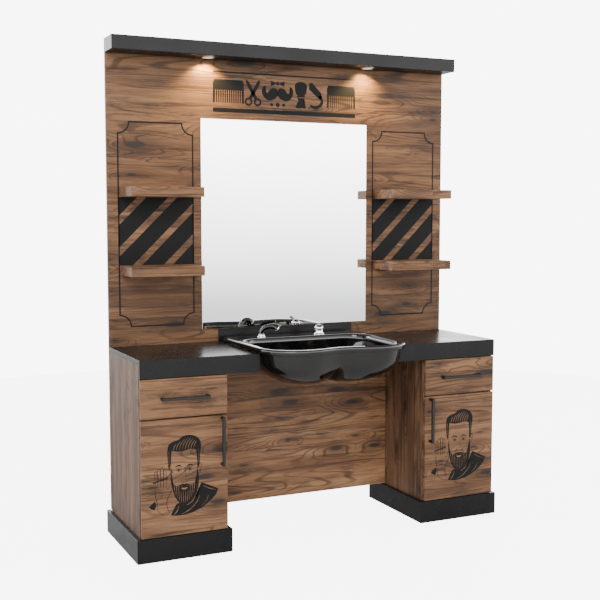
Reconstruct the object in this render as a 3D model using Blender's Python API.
"""Salon styling station: wood panel with canopy, mirror, shelves, two cabinets and a wash basin.

Metres, +Z up. +X is the user's right, -Y is the side the user stands on.
The origin is on the floor, in the middle of the station's width and depth.
"""

import math

import bmesh
import bpy
from mathutils import Vector

# Boards and fits
GAP = 0.0003               # between pieces that touch
BOARD = 0.018
CHAMFER = 0.001

# Overall sizes
WIDTH = 1.700              # panel, canopy and worktop
HALF = WIDTH / 2
DEPTH = 0.653              # back of the panel to the basin's front lip
PANEL_BOTTOM = 0.100       # level with the cabinets' floors
PANEL_HEIGHT = 2.100       # of the panel's top edge above the floor
CANOPY_HEIGHT = 0.060
CANOPY_REACH = 0.112       # ahead of the panel's face
REAR = DEPTH / 2
PANEL_FACE = REAR - BOARD

# Worktop and cabinets
WORKTOP_TOP = 0.8275
WORKTOP_UNDER = WORKTOP_TOP - BOARD
FASCIA_BOTTOM = 0.752
FRONT_REACH = 0.471        # door, drawer and fascia faces
DOOR_BACK = FRONT_REACH - BOARD
CARCASS_REACH = 0.451
CABINET_INNER = 0.477      # inner face of a cabinet, from the middle
INSIDE_NEAR = CABINET_INNER + BOARD
INSIDE_FAR = HALF - BOARD
PLINTH_HEIGHT = 0.099
PLINTH_REACH = 0.473
CABINET_FLOOR = 0.100
FRONT_EDGE_GAP = 0.002     # from the cabinet's edge to a door's or drawer front's edge
DOOR_BOTTOM = 0.102
DOOR_TOP = 0.582
DRAWER_BOTTOM = 0.588
DRAWER_TOP = 0.749
FRONT_NEAR = CABINET_INNER + FRONT_EDGE_GAP
FRONT_FAR = HALF - FRONT_EDGE_GAP
MODESTY_REACH = 0.110
MODESTY_BOTTOM = 0.100
SERVICE_HOLE = (0.150, 0.340, 0.540)   # half width, bottom and top

# Drawer box and its runner strips
BOX_SLACK = 0.0015
BOX_BOTTOM = 0.606
BOX_TOP = 0.736
BOX_REAR_REACH = 0.050
BOX_WALL = 0.015
BOX_FLOOR = 0.008
GROOVE_DEPTH = 0.008
GROOVE_BOTTOM = 0.6600
GROOVE_TOP = 0.6770
RUNNER_SLACK = 0.0005
RUNNER_FRONT = 0.434

# Door hinges
HINGE_HEIGHTS = (("lower", 0.192), ("upper", 0.492))
CUP_FROM_EDGE = 0.0225
CUP_RADIUS = 0.0175
CUP_DEPTH = 0.0120
CUP_WALL = 0.0020
ARM_PLATE = (0.375, 0.435)   # reaches of the plate's two ends
ARM_PLATE_HALF = 0.025
ARM_HALF = 0.007

# Handles
HANDLE_PITCH = 0.192
HANDLE_BAR = 0.012
HANDLE_STANDOFF = 0.032
HANDLE_DROP = 0.475        # height of a door handle's middle
HANDLE_INSET = 0.025       # door handle from the door's inner edge

# Wall side fittings
MIRROR_HALF = 0.421
MIRROR_BOTTOM = 0.8887
MIRROR_TOP = 1.8365
GLASS = 0.005
SPLASH_HALF = 0.343
SPLASH_TOP = 0.885
SPLASH_THICK = 0.004
SHELF_NEAR = 0.469
SHELF_FAR = 0.794
SHELF_DEPTH = 0.183
SHELF_THICK = 0.042
SHELF_TOPS = (("upper", 1.525), ("lower", 1.184))

# Lamps in the canopy
LAMP_X = 0.400
LAMP_REACH = 0.050
LAMP_HOLE = 0.0290
LAMP_STEPS = 24

# Basin
BASIN_HALF = 0.343
BASIN_REAR = 0.045         # reaches ahead of the panel's face, here and below
BASIN_FRONT = DEPTH - BOARD
BASIN_TOP = 0.852
LIP_BOTTOM = WORKTOP_TOP + GAP
LIP_OVERHANG = 0.016
LEDGE_FRONT = 0.168
CORNER_FRONT = 0.165       # plan radii of the edge
CORNER_REAR = 0.030
WELL_CORNER_FRONT = 0.150  # and of the hollow inside it
WELL_CORNER_REAR = 0.110
WALL = 0.008
SHOULDER = 0.026           # radius of the hollow's rounded edge
SHOULDER_STEPS = 5
REAR_SHARE = 0.30          # the rear edge is narrower: this share of the depth, after a flat strip
REAR_FLAT = 0.0056
RIM_EDGE = 0.007           # radius of the rim's outer edge
FLOOR_UNDER = 0.674        # underside of the bowl's floor
FRONT_DIP = 0.030          # how far the front edge is hollowed
DIP_HALF = 0.165
BOWL_CENTRE = 0.385
DISH_POWER = 2.5           # higher is boxier
REAR_POWER = 12.0
NECK_HALF = 0.060          # half width of the front wall's middle, which leans back
NECK_LEAN = 0.25
DRAIN_REACH = 0.250
DRAIN_HOLE = 0.0290
ARCH_TOP = 0.757           # hollow under the front wall
ARCH_BASE = 0.655
ARCH_HALF = 0.040
ARCH_FADE = (0.300, 0.370)
TRAP_AXIS = 0.6565          # height of the waste pipe
TRAP_TOP = FLOOR_UNDER - 0.002
TRAP_HALF = 0.034
PIPE_RADIUS = 0.0135
PIPE_BORE = 0.0085
CUTOUT_HALF = 0.332
CUTOUT_REAR = 0.115
BOWL_RINGS = (0.0, 0.10, 0.20, 0.34, 0.43, 0.51, 0.59, 0.67, 0.75, 0.83, 0.91, 0.97, 1.0)

# Taps
SHOWER_X = -0.185
MIXER_X = 0.105
TAP_REACH = 0.134
SHANK_LENGTH = 0.045
SHANK_RADIUS = 0.0150
LEVER_LENGTH = 0.066

COLOURS = {
    "wood": ((0.30, 0.165, 0.085), 0.50, 0.0),
    "black_board": ((0.035, 0.035, 0.035), 0.30, 0.0),
    "white_board": ((0.80, 0.80, 0.78), 0.50, 0.0),
    "mirror": ((0.90, 0.91, 0.92), 0.03, 1.0),
    "basin_plastic": ((0.010, 0.010, 0.011), 0.08, 0.0),
    "chrome": ((0.80, 0.80, 0.82), 0.08, 1.0),
    "steel": ((0.62, 0.62, 0.63), 0.30, 1.0),
    "dark_metal": ((0.050, 0.050, 0.052), 0.35, 1.0),
    "lamp_lens": ((1.0, 0.86, 0.66), 0.40, 0.0),
}


def clear_scene():
    for obj in list(bpy.data.objects):
        bpy.data.objects.remove(obj, do_unlink=True)


def finish_of(name):
    """The named material, made once."""
    found = bpy.data.materials.get(name)
    if found:
        return found
    colour, roughness, metallic = COLOURS[name]
    made = bpy.data.materials.new(name)
    made.use_nodes = True
    shader = made.node_tree.nodes["Principled BSDF"]
    shader.inputs["Base Color"].default_value = (*colour, 1.0)
    shader.inputs["Roughness"].default_value = roughness
    shader.inputs["Metallic"].default_value = metallic
    if name == "lamp_lens":
        shader.inputs["Emission Color"].default_value = (*colour, 1.0)
        shader.inputs["Emission Strength"].default_value = 6.0
    return made


def ahead(reach):
    """Y of a plane this far ahead of the back panel's face."""
    return PANEL_FACE - reach


def place(name, bm, finish, axis=None, smooth=False):
    """Make bm, drawn in world coordinates, an object. axis is the empty it hangs on, if it moves."""
    bmesh.ops.recalc_face_normals(bm, faces=bm.faces)
    mesh = bpy.data.meshes.new(name)
    bm.to_mesh(mesh)
    bm.free()
    obj = bpy.data.objects.new(name, mesh)
    bpy.context.collection.objects.link(obj)
    if finish:
        mesh.materials.append(finish_of(finish))
    if smooth:
        mesh.shade_smooth()
        mesh.set_sharp_from_angle(angle=math.radians(35))
    if axis:
        for vertex in mesh.vertices:
            vertex.co -= axis.location
        obj.parent = axis
    return obj


def joint_axis(name, x, y, z):
    """An empty on a joint's axis."""
    empty = bpy.data.objects.new(name, None)
    empty.location = (x, y, z)
    bpy.context.collection.objects.link(empty)
    return empty


def side_span(side, near, far):
    """X range from near to far out from the middle, on the left (-1) or the right (1)."""
    return tuple(sorted((side * near, side * far)))


def box_mesh(xs, ys, zs):
    bm = bmesh.new()
    bmesh.ops.create_cube(bm, size=1.0)
    for vertex in bm.verts:
        for i, (low, high) in enumerate((xs, ys, zs)):
            vertex.co[i] = low if vertex.co[i] < 0 else high
    return bm


def chamfer(obj, width=CHAMFER, segments=1):
    bevel = obj.modifiers.new("chamfer", "BEVEL")
    bevel.width = width
    bevel.segments = segments
    bevel.limit_method = "ANGLE"
    bevel.angle_limit = math.radians(40)


def board(name, xs, ys, zs, finish, axis=None, width=CHAMFER):
    obj = place(name, box_mesh(xs, ys, zs), finish, axis)
    chamfer(obj, width)
    return obj


def prism_mesh(outline, low, high, plane="XY"):
    """Closed outline in a plane, extruded from low to high along the third direction."""
    bm = bmesh.new()
    order = {"XY": (0, 1, 2), "YZ": (1, 2, 0), "XZ": (0, 2, 1)}[plane]
    rings = []
    for level in (low, high):
        ring = []
        for point in outline:
            co = [0.0, 0.0, 0.0]
            co[order[0]], co[order[1]], co[order[2]] = point[0], point[1], level
            ring.append(bm.verts.new(co))
        rings.append(ring)
    skin(bm, rings)
    bm.faces.new(rings[0])
    bm.faces.new(rings[1])
    return bm


def skin(bm, rings, closed=False):
    """Quads between neighbouring rings of equal length. closed joins the last ring to the first."""
    count = len(rings[0])
    pairs = list(zip(rings, rings[1:]))
    if closed:
        pairs.append((rings[-1], rings[0]))
    for lower, upper in pairs:
        for i in range(count):
            j = (i + 1) % count
            bm.faces.new((lower[i], lower[j], upper[j], upper[i]))


def ring_of(bm, points):
    return [bm.verts.new(point) for point in points]


def circle(x, y, z, radius, steps):
    turn = 2 * math.pi / steps
    return [(x + radius * math.cos(turn * i), y + radius * math.sin(turn * i), z) for i in range(steps)]


def turned_mesh(x, y, profile, steps, hollow=False):
    """Turn (radius, z) points about the vertical at x, y: a solid with flat ends, or a closed ring."""
    bm = bmesh.new()
    rings = [ring_of(bm, circle(x, y, z, radius, steps)) for radius, z in profile]
    skin(bm, rings, closed=hollow)
    if not hollow:
        bm.faces.new(rings[0])
        bm.faces.new(rings[-1])
    return bm


def rod_mesh(start, end, radius, steps):
    return swept_mesh([start, end], [radius, radius], steps)


def swept_mesh(points, radii, steps):
    """A round tube along points, with flat ends and a radius at each point."""
    path = [Vector(point) for point in points]
    bm = bmesh.new()
    rings = []
    across = None
    for i, point in enumerate(path):
        ahead_point = path[min(i + 1, len(path) - 1)]
        back_point = path[max(i - 1, 0)]
        along = (ahead_point - back_point).normalized()
        if across is None:
            across = along.orthogonal().normalized()
        across = (across - along * across.dot(along)).normalized()
        up = along.cross(across)
        turn = 2 * math.pi / steps
        ring = []
        for k in range(steps):
            offset = across * math.cos(turn * k) + up * math.sin(turn * k)
            ring.append(bm.verts.new(point + offset * radii[i]))
        rings.append(ring)
    skin(bm, rings)
    bm.faces.new(rings[0])
    bm.faces.new(rings[-1])
    return bm


def smooth_path(points, steps):
    """Points along a curve that passes through the given ones."""
    knots = [Vector(point) for point in points]
    knots = [2 * knots[0] - knots[1], *knots, 2 * knots[-1] - knots[-2]]
    out = []
    for a, b, c, d in zip(knots, knots[1:], knots[2:], knots[3:]):
        for i in range(steps):
            t = i / steps
            out.append(0.5 * (2 * b + (c - a) * t + (2 * a - 5 * b + 4 * c - d) * t ** 2
                              + (3 * b - a - 3 * c + d) * t ** 3))
    out.append(knots[-2])
    return out


def boolean(target, name, bm, operation="DIFFERENCE"):
    """Cut target with bm, or add bm to it. The tool object is a hidden wire guide."""
    tool = place(f"{target.name}_{name}", bm, None)
    tool.hide_render = True
    tool.display_type = "WIRE"
    if target.parent:
        for vertex in tool.data.vertices:
            vertex.co -= target.parent.location
        tool.parent = target.parent
    modifier = target.modifiers.new(name, "BOOLEAN")
    modifier.operation = operation
    modifier.solver = "EXACT"
    modifier.object = tool


# Panel, canopy and what hangs on the panel

def back_panel():
    obj = board("back_panel", (-HALF, HALF), (PANEL_FACE, REAR),
                (PANEL_BOTTOM, PANEL_HEIGHT), "wood")
    half, bottom, top = SERVICE_HOLE
    boolean(obj, "service_hole", box_mesh((-half, half), (PANEL_FACE - BOARD, REAR + BOARD), (bottom, top)))


def canopy():
    low = PANEL_HEIGHT + GAP
    high = PANEL_HEIGHT + CANOPY_HEIGHT
    front = ahead(CANOPY_REACH)
    inner = HALF - BOARD
    outline = [(-HALF, REAR), (-HALF, front), (HALF, front), (HALF, REAR),
               (inner, REAR), (inner, front + BOARD), (-inner, front + BOARD), (-inner, REAR)]
    band = place("canopy_band", prism_mesh(outline, low, high), "black_board")
    chamfer(band)
    xs = (-inner + GAP, inner - GAP)
    ys = (front + BOARD + GAP, REAR)
    board("canopy_top", xs, ys, (high - BOARD, high), "black_board")
    soffit = board("canopy_soffit", xs, ys, (low, low + BOARD), "black_board")
    for name, side in (("left", -1), ("right", 1)):
        x = side * LAMP_X
        hole = turned_mesh(x, ahead(LAMP_REACH), [(LAMP_HOLE, low - BOARD), (LAMP_HOLE, high)], LAMP_STEPS)
        boolean(soffit, f"{name}_hole", hole)
        downlight(name, x, low)
    board("led_driver", (-0.080, 0.080), (REAR - 0.060, REAR - 0.015),
          (low + BOARD + GAP, high - BOARD - 0.003), "white_board", width=0.002)


def downlight(name, x, soffit_bottom):
    """A cup with a trim ring under the soffit, and its lens."""
    y = ahead(LAMP_REACH)
    trim = 0.0340
    cup = 0.0280
    bore = 0.0255
    face = soffit_bottom - GAP
    top = soffit_bottom + 0.036
    profile = [(bore, face - 0.0030), (trim - 0.001, face - 0.0030), (trim, face - 0.0020), (trim, face),
               (cup, face), (cup, top), (0.012, top + 0.002), (0.012, top - 0.004), (bore, top - 0.006)]
    housing = turned_mesh(x, y, profile, LAMP_STEPS, hollow=True)
    place(f"{name}_downlight", housing, "steel", smooth=True)
    lens = [(bore - 0.0035, face - 0.0022), (bore - GAP * 2, face - 0.0008), (bore - GAP * 2, face + 0.002)]
    place(f"{name}_downlight_lens", turned_mesh(x, y, lens, LAMP_STEPS), "lamp_lens", smooth=True)


def wall_fittings():
    board("mirror_glass", (-MIRROR_HALF, MIRROR_HALF), (ahead(GLASS + GAP), ahead(GAP)),
          (MIRROR_BOTTOM, MIRROR_TOP), "mirror")
    board("splash_panel", (-SPLASH_HALF, SPLASH_HALF), (ahead(SPLASH_THICK + GAP), ahead(GAP)),
          (WORKTOP_TOP + GAP, SPLASH_TOP), "black_board", width=0.0005)
    for side_name, side in (("left", -1), ("right", 1)):
        for height_name, top in SHELF_TOPS:
            board(f"{side_name}_{height_name}_shelf", side_span(side, SHELF_NEAR, SHELF_FAR),
                  (ahead(SHELF_DEPTH), ahead(GAP)), (top - SHELF_THICK, top), "wood")


# Worktop and cabinets

def worktop():
    front = ahead(FRONT_REACH)
    back = ahead(GAP)
    notch = ahead(CUTOUT_REAR)
    outline = [(-HALF, back), (-HALF, front), (-CUTOUT_HALF, front), (-CUTOUT_HALF, notch),
               (CUTOUT_HALF, notch), (CUTOUT_HALF, front), (HALF, front), (HALF, back)]
    slab = place("worktop_slab", prism_mesh(outline, WORKTOP_UNDER, WORKTOP_TOP), "black_board")
    chamfer(slab)
    for name, side in (("left", -1), ("right", 1)):
        board(f"{name}_fascia", side_span(side, CUTOUT_HALF, HALF), (front, front + BOARD),
              (FASCIA_BOTTOM, WORKTOP_UNDER - GAP), "black_board")


def modesty_panel():
    half = CABINET_INNER - GAP
    face = ahead(MODESTY_REACH)
    obj = board("modesty_panel", (-half, half), (face, face + BOARD),
                (MODESTY_BOTTOM, WORKTOP_UNDER - GAP), "wood")
    hole = rod_mesh((0, face - BOARD, TRAP_AXIS), (0, face + 2 * BOARD, TRAP_AXIS), 0.020, 20)
    boolean(obj, "pipe_hole", hole)


def cabinet(name, side):
    front = ahead(CARCASS_REACH)
    back = ahead(GAP)
    board(f"{name}_outer_side", side_span(side, INSIDE_FAR, HALF), (front, back),
          (0.0, WORKTOP_UNDER - GAP), "wood")
    board(f"{name}_inner_side", side_span(side, CABINET_INNER, INSIDE_NEAR), (front, back),
          (0.0, WORKTOP_UNDER - GAP), "wood")
    inside = side_span(side, INSIDE_NEAR + GAP, INSIDE_FAR - GAP)
    board(f"{name}_cabinet_floor", inside, (front, back), (CABINET_FLOOR, CABINET_FLOOR + BOARD), "wood")
    middle = (DOOR_TOP + DRAWER_BOTTOM) / 2
    board(f"{name}_divider", inside, (front, back), (middle - BOARD / 2, middle + BOARD / 2), "wood")
    plinth(name, side)


def plinth(name, side):
    """A skirt of three boards round the cabinet's foot."""
    front = ahead(PLINTH_REACH)
    near = CABINET_INNER - BOARD
    far = HALF + BOARD
    inside_near = CABINET_INNER - GAP
    inside_far = HALF + GAP
    outline = [(side * near, REAR), (side * near, front), (side * far, front), (side * far, REAR),
               (side * inside_far, REAR), (side * inside_far, front + BOARD),
               (side * inside_near, front + BOARD), (side * inside_near, REAR)]
    obj = place(f"{name}_plinth", prism_mesh(outline, 0.0, PLINTH_HEIGHT), "black_board")
    chamfer(obj)


def handle(name, x, z, upright, axis):
    """A square bar on two end posts, standing out from a front."""
    half = HANDLE_PITCH / 2 + HANDLE_BAR / 2
    face = ahead(FRONT_REACH + GAP)
    out = ahead(FRONT_REACH + HANDLE_STANDOFF)
    bar = HANDLE_BAR
    middle, level = (z, x) if upright else (x, z)
    outline = [(middle - half, face), (middle - half, out), (middle + half, out), (middle + half, face),
               (middle + half - bar, face), (middle + half - bar, out + bar),
               (middle - half + bar, out + bar), (middle - half + bar, face)]
    if upright:
        outline = [(y, height) for height, y in outline]
    plane = "YZ" if upright else "XY"
    obj = place(name, prism_mesh(outline, level - bar / 2, level + bar / 2, plane), "dark_metal", axis)
    chamfer(obj, 0.0015)


def drawer(name, side):
    front = ahead(FRONT_REACH)
    xs = side_span(side, FRONT_NEAR, FRONT_FAR)
    middle = (xs[0] + xs[1]) / 2
    height = (DRAWER_BOTTOM + DRAWER_TOP) / 2
    axis = joint_axis(f"{name}_drawer_axis", middle, front, height)
    board(f"{name}_drawer_front", xs, (front, front + BOARD), (DRAWER_BOTTOM, DRAWER_TOP), "wood", axis)
    handle(f"{name}_drawer_handle", middle, height, False, axis)
    drawer_box(name, side, axis)
    for where, wall, inward in (("near", INSIDE_NEAR, 1), ("far", INSIDE_FAR, -1)):
        tip = wall + inward * (BOX_SLACK + GROOVE_DEPTH - RUNNER_SLACK)
        board(f"{name}_runner_{where}", side_span(side, wall + inward * GAP, tip),
              (ahead(RUNNER_FRONT), ahead(BOX_REAR_REACH)),
              (GROOVE_BOTTOM + RUNNER_SLACK, GROOVE_TOP - RUNNER_SLACK), "steel", width=0.0005)


def drawer_box(name, side, axis):
    """An open tray with a groove along each side for the runners."""
    near = INSIDE_NEAR + BOX_SLACK
    far = INSIDE_FAR - BOX_SLACK
    ys = (ahead(DOOR_BACK - GAP), ahead(BOX_REAR_REACH))
    xs = side_span(side, near, far)
    obj = board(f"{name}_drawer_box", xs, ys, (BOX_BOTTOM, BOX_TOP), "white_board", axis)
    room = box_mesh((xs[0] + BOX_WALL, xs[1] - BOX_WALL), (ys[0] + BOX_WALL, ys[1] - BOX_WALL),
                    (BOX_BOTTOM + BOX_FLOOR, BOX_TOP + BOARD))
    boolean(obj, "room", room)
    for where, edge, outward in (("near", near, -1), ("far", far, 1)):
        span = side_span(side, edge + outward * BOX_WALL, edge - outward * GROOVE_DEPTH)
        groove = box_mesh(span, (ahead(RUNNER_FRONT + 0.001), ys[1] + BOARD), (GROOVE_BOTTOM, GROOVE_TOP))
        boolean(obj, f"groove_{where}", groove)


def door(name, side):
    xs = side_span(side, FRONT_NEAR, FRONT_FAR)
    back = ahead(DOOR_BACK)
    axis = joint_axis(f"{name}_door_axis", side * HALF, back, (DOOR_BOTTOM + DOOR_TOP) / 2)
    leaf = board(f"{name}_door", xs, (ahead(FRONT_REACH), back), (DOOR_BOTTOM, DOOR_TOP), "wood", axis)
    handle(f"{name}_door_handle", side * (FRONT_NEAR + HANDLE_INSET), HANDLE_DROP, True, axis)
    x = side * (FRONT_FAR - CUP_FROM_EDGE)
    for where, height in HINGE_HEIGHTS:
        pocket = rod_mesh((x, back - CUP_DEPTH - GAP, height), (x, back + BOARD, height), CUP_RADIUS + GAP, 20)
        boolean(leaf, f"{where}_pocket", pocket)
        hinge_cup(f"{name}_{where}_hinge_cup", x, back, height, axis)
        hinge_arm(f"{name}_{where}_hinge_arm", side, x, height)


def hinge_cup(name, x, back, height, axis):
    """A steel cup sunk in the door's back, open towards the cabinet."""
    obj = place(name, rod_mesh((x, back - CUP_DEPTH, height), (x, back, height), CUP_RADIUS, 20),
                "steel", axis, smooth=True)
    hollow = rod_mesh((x, back - CUP_DEPTH + CUP_WALL, height), (x, back + BOARD, height),
                      CUP_RADIUS - CUP_WALL, 20)
    boolean(obj, "hollow", hollow)


def hinge_arm(name, side, cup_x, height):
    """A plate on the cabinet's side, with an arm that reaches into the cup."""
    wall = side * (INSIDE_FAR - GAP)
    inner = side * (INSIDE_FAR - 0.004)
    plate_rear, plate_front = ARM_PLATE
    plate = box_mesh(tuple(sorted((wall, inner))), (ahead(plate_front), ahead(plate_rear)),
                     (height - ARM_PLATE_HALF, height + ARM_PLATE_HALF))
    obj = place(name, plate, "steel")
    reach = ahead(DOOR_BACK + CUP_DEPTH / 2)
    near = cup_x - side * 0.008
    far = cup_x + side * 0.0025
    base = side * (INSIDE_FAR - 0.002)
    bend = ahead(plate_front - 0.005)
    tip = ahead(plate_front + 0.011)
    heel = ahead(plate_rear + 0.010)
    outline = [(near, reach), (far, reach), (far, tip), (base, bend), (base, heel),
               (inner - side * 0.008, heel), (near - side * 0.004, bend), (near, tip)]
    boolean(obj, "arm", prism_mesh(outline, height - ARM_HALF, height + ARM_HALF), "UNION")


# Basin, waste and taps

def basin_outline(half, front, rear, front_radius, rear_radius, dip):
    """Plan of the basin's edge, from the middle of its front, to the right and round.

    front and rear are Y values. dip hollows the middle of the front edge.
    """
    flat = half - front_radius
    points = [(flat * i / 8, front) for i in range(8)]
    corner(points, flat, front + front_radius, front_radius, -90, 7)
    run = (rear - rear_radius) - (front + front_radius)
    points += [(half, front + front_radius + run * i / 3) for i in (1, 2)]
    corner(points, half - rear_radius, rear - rear_radius, rear_radius, 0, 4)
    points += [((half - rear_radius) * (1 - i / 4), rear) for i in range(1, 5)]
    points += [(-x, y) for x, y in reversed(points[1:-1])]
    return [(x, y + dip * hollowing(x, y, front, rear)) for x, y in points]


def corner(points, x, y, radius, start, steps):
    """Add a quarter turn about x, y from the start angle, in degrees."""
    for i in range(steps + 1):
        angle = math.radians(start + 90 * i / steps)
        points.append((x + radius * math.cos(angle), y + radius * math.sin(angle)))


def hollowing(x, y, front, rear):
    """1 in the middle of the front edge, falling smoothly to 0 at the corners and the rear."""
    if abs(x) >= DIP_HALF:
        return 0.0
    across = math.cos(math.pi * x / (2 * DIP_HALF)) ** 2
    along = max(0.0, (rear - y) / (rear - front)) ** 4
    return across * along


def smooth_step(value, low, high):
    t = min(1.0, max(0.0, (value - low) / (high - low)))
    return t * t * (3 - 2 * t)


def wall_rise(x, y, edge):
    """Height of the bowl's surface at x, y: 0 on its floor, 1 at the edge point it leads to.

    It is a dish with soft sides and an upright rear. The middle of its front leans back.
    """
    def spread(px, py):
        depth = BOWL_CENTRE - LEDGE_FRONT if py > centre else BASIN_FRONT - BOWL_CENTRE
        return abs(px) / BASIN_HALF, abs(py - centre) / depth

    def distance(px, py):
        across, along = spread(px, py)
        return (across ** 3 + along ** 3) ** (1 / 3)

    centre = ahead(BOWL_CENTRE)
    q = min(1.0, distance(x, y) / distance(*edge))
    across, along = spread(x, y)
    rearness = along ** 2 / (across ** 2 + along ** 2 + 1e-9) if y > centre else 0.0
    power = DISH_POWER + (REAR_POWER - DISH_POWER) * rearness ** 4
    dish = 1 - (1 - q ** power) ** (1 / power)
    neck = NECK_LEAN * math.exp(-(x / NECK_HALF) ** 2) * smooth_step(centre - y, 0.0, 0.06)
    return dish + neck * (q ** 1.15 - dish)


def arch_height(x, y):
    """Underside of the hollow that runs in under the front wall."""
    fade = smooth_step(-y, -ahead(ARCH_FADE[0]), -ahead(ARCH_FADE[1]))
    return ARCH_BASE + (ARCH_TOP - ARCH_BASE) * fade * math.exp(-(x / ARCH_HALF) ** 2)


def bowl_ring(outline, s, top, lift):
    """One ring of the bowl's surface, s of the way from the drain hole to the edge."""
    drain_y = ahead(DRAIN_REACH)
    floor = FLOOR_UNDER + lift
    ring = []
    for edge_x, edge_y in outline:
        reach = math.hypot(edge_x, edge_y - drain_y)
        x = edge_x * (DRAIN_HOLE / reach * (1 - s) + s)
        y = drain_y + (edge_y - drain_y) * (DRAIN_HOLE / reach * (1 - s) + s)
        from_drain = math.hypot(x, y - drain_y) - DRAIN_HOLE
        level = smooth_step(from_drain, 0.004, 0.030)
        bowl = floor + (top - floor) * wall_rise(x, y, (edge_x, edge_y)) * level
        arch = arch_height(x, y) + lift
        blend = 0.5 * (bowl + arch + math.hypot(bowl - arch, 0.006))
        ring.append((x, y, blend if arch > floor else bowl))
    return ring


def basin():
    def outline(inset):
        return basin_outline(BASIN_HALF - inset, ahead(BASIN_FRONT - inset), ahead(BASIN_REAR + inset),
                             CORNER_FRONT, CORNER_REAR, FRONT_DIP)

    def well(inset):
        return basin_outline(BASIN_HALF - LIP_OVERHANG - inset,
                             ahead(BASIN_FRONT - LIP_OVERHANG - inset),
                             ahead(LEDGE_FRONT - WALL + min(inset, REAR_FLAT + REAR_SHARE * inset)),
                             WELL_CORNER_FRONT - inset, WELL_CORNER_REAR - inset, FRONT_DIP)

    bm = bmesh.new()
    rings = []
    shoulder = WALL + SHOULDER - RIM_EDGE
    inner_edge = well(shoulder)
    outer_edge = well(0.0)
    for s in BOWL_RINGS:
        rings.append(bowl_ring(inner_edge, s, BASIN_TOP - SHOULDER, WALL))
    for step in range(1, SHOULDER_STEPS + 1):
        angle = math.pi / 2 * step / SHOULDER_STEPS
        rings.append([(x, y, BASIN_TOP - SHOULDER * (1 - math.sin(angle)))
                      for x, y in well(shoulder - SHOULDER * (1 - math.cos(angle)))])
    for inset, drop in ((RIM_EDGE, 0.0), (0.003, 0.0008), (0.001, 0.003), (0.0, RIM_EDGE)):
        rings.append([(x, y, BASIN_TOP - drop) for x, y in outline(inset)])
    for inset, lift in ((0.0, 0.004), (0.003, 0.0)):
        rings.append([(x, y, LIP_BOTTOM + lift) for x, y in outline(inset)])
    rings.append([(x, y, LIP_BOTTOM) for x, y in outer_edge])
    for s in reversed(BOWL_RINGS[:-1]):
        rings.append(bowl_ring(outer_edge, s, LIP_BOTTOM, 0.0))
    skin(bm, [ring_of(bm, ring) for ring in rings], closed=True)
    obj = place("basin_bowl", bm, "basin_plastic", smooth=True)
    for name, x, radius in (("shower", SHOWER_X, 0.0150), ("mixer", MIXER_X, 0.0165)):
        hole = turned_mesh(x, ahead(TAP_REACH), [(radius, LIP_BOTTOM - 0.05), (radius, BASIN_TOP + 0.05)], 20)
        boolean(obj, f"{name}_hole", hole)


def waste():
    y = ahead(DRAIN_REACH)
    floor = FLOOR_UNDER + WALL + 0.0005
    flange = [(0.0225, floor + 0.0030), (0.0225, 0.6620), (0.0265, 0.6620), (0.0265, floor + GAP),
              (0.0335, floor + GAP), (0.0340, floor + 0.0012), (0.0325, floor + 0.0030)]
    place("drain_flange", turned_mesh(0, y, flange, 28, hollow=True), "chrome", smooth=True)
    strainer(y, floor + 0.0030 + GAP)
    trap(y)


def trap(y):
    """A flat chamber under the drain, with a pipe to the rear through the modesty panel."""
    front = y - 0.035
    rear = ahead(MODESTY_REACH + 0.020)
    side = [(front, TRAP_TOP), (front, 0.6600), (y - 0.015, 0.6545), (y + 0.040, 0.6490), (rear, 0.6420),
            (rear, TRAP_TOP)]
    obj = place("waste_trap", prism_mesh(side, -TRAP_HALF, TRAP_HALF, "YZ"), "basin_plastic")
    chamfer(obj, 0.0015)
    outlet = rod_mesh((0, rear - 0.030, TRAP_AXIS), (0, ahead(0.040), TRAP_AXIS), PIPE_RADIUS, 20)
    boolean(obj, "outlet", outlet, "UNION")
    boolean(obj, "well", turned_mesh(0, y, [(0.0275, 0.6590), (0.0275, TRAP_TOP + 0.02)], 24))
    boolean(obj, "channel", box_mesh((-0.018, 0.018), (y, rear - 0.004), (0.6600, 0.6690)))
    bore = rod_mesh((0, rear - 0.012, TRAP_AXIS), (0, ahead(0.020), TRAP_AXIS), PIPE_BORE, 16)
    boolean(obj, "bore", bore)


def strainer(y, seat):
    """A lift-out cup with a ring of holes, hanging in the drain."""
    axis = joint_axis("hair_strainer_axis", 0, y, seat)
    profile = [(0.0195, seat - 0.014), (0.0205, seat - 0.012), (0.0215, seat - GAP), (0.0215, seat),
               (0.0290, seat), (0.0290, seat + 0.0010), (0.0205, seat + 0.0020), (0.0190, seat - 0.0110)]
    obj = place("hair_strainer", turned_mesh(0, y, profile, 28), "steel", axis, smooth=True)
    for i in range(7):
        angle = 2 * math.pi * i / 6
        radius = 0.0115 if i < 6 else 0.0
        x = radius * math.cos(angle)
        hole = turned_mesh(x, y + radius * math.sin(angle),
                           [(0.0035, seat - 0.03), (0.0035, seat + 0.02)], 10)
        boolean(obj, f"hole_{i}", hole)


def taps():
    mixer()
    shower()


def mixer():
    x, y = MIXER_X, ahead(TAP_REACH)
    base = BASIN_TOP + GAP
    body = [(SHANK_RADIUS, base - SHANK_LENGTH), (SHANK_RADIUS, base), (0.0250, base), (0.0250, base + 0.0030),
            (0.0235, base + 0.0045), (0.0205, base + 0.0060), (0.0195, base + 0.0260)]
    place("mixer_body", turned_mesh(x, y, body, 28), "chrome", smooth=True)
    seat = base + 0.0260 + GAP
    swivel = joint_axis("mixer_cap_axis", x, y, seat)
    cap = [(0.0195, seat), (0.0200, seat + 0.0020), (0.0200, seat + 0.0075), (0.0185, seat + 0.0100),
           (0.0150, seat + 0.0110)]
    place("mixer_cap", turned_mesh(x, y, cap, 28), "chrome", swivel, smooth=True)
    lever(x, y, seat + 0.0110 + GAP)


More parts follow.
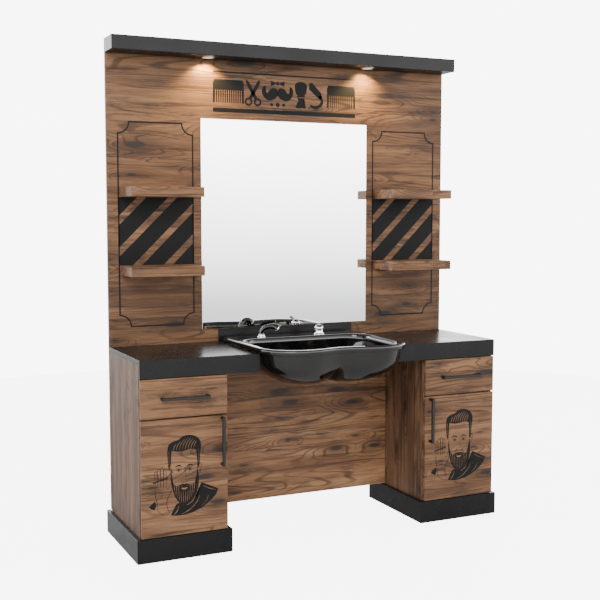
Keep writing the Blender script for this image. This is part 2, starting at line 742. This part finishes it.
def lever(x, y, seat):
    """A flat lever towards the user, rising to its tip. It lifts about its rear end."""
    axis = joint_axis("mixer_lever_axis", x, y + 0.014, seat + 0.004)
    tip = y - LEVER_LENGTH
    outline = [(y + 0.016, seat), (y - 0.012, seat), (y - 0.030, seat + 0.004), (tip, seat + 0.015),
               (tip, seat + 0.0205), (y - 0.030, seat + 0.0125), (y - 0.008, seat + 0.0100),
               (y + 0.010, seat + 0.0090), (y + 0.016, seat + 0.0060)]
    bm = prism_mesh(outline, x - 0.0110, x + 0.0110, "YZ")
    for vertex in bm.verts:
        taper = max(0.0, (y - vertex.co.y) / LEVER_LENGTH)
        vertex.co.x = x + (vertex.co.x - x) * (1 - 0.40 * taper)
    obj = place("mixer_lever", bm, "dark_metal", axis)
    chamfer(obj, 0.0015, 2)


def shower():
    x, y = SHOWER_X, ahead(TAP_REACH)
    base = BASIN_TOP + GAP
    bore = 0.0105
    socket = [(bore, base - 0.040), (0.0140, base - 0.040), (0.0140, base), (0.0185, base),
              (0.0185, base + 0.0025), (0.0175, base + 0.0045), (0.0155, base + 0.0060),
              (0.0150, base + 0.0130), (bore, base + 0.0130)]
    place("shower_socket", turned_mesh(x, y, socket, 24, hollow=True), "chrome", smooth=True)
    axis = joint_axis("hand_shower_axis", x, y, base)
    route = [(x, y, base - 0.030), (x, y, base - 0.005), (x, y, base + 0.018),
             (x + 0.007, y - 0.005, base + 0.037), (x + 0.028, y - 0.019, base + 0.050),
             (x + 0.052, y - 0.034, base + 0.049), (x + 0.067, y - 0.044, base + 0.039)]
    path = smooth_path(route, 3)
    thickness = [0.0095, 0.0095, 0.0095, 0.0100, 0.0108, 0.0135, 0.0190]
    radii = smooth_path([(value, 0, 0) for value in thickness], 3)
    bm = swept_mesh(path, [value.x for value in radii], 16)
    place("hand_shower", bm, "basin_plastic", axis, smooth=True)


def build():
    clear_scene()
    back_panel()
    canopy()
    wall_fittings()
    worktop()
    modesty_panel()
    for name, side in (("left", -1), ("right", 1)):
        cabinet(name, side)
        drawer(name, side)
        door(name, side)
    basin()
    waste()
    taps()


build()
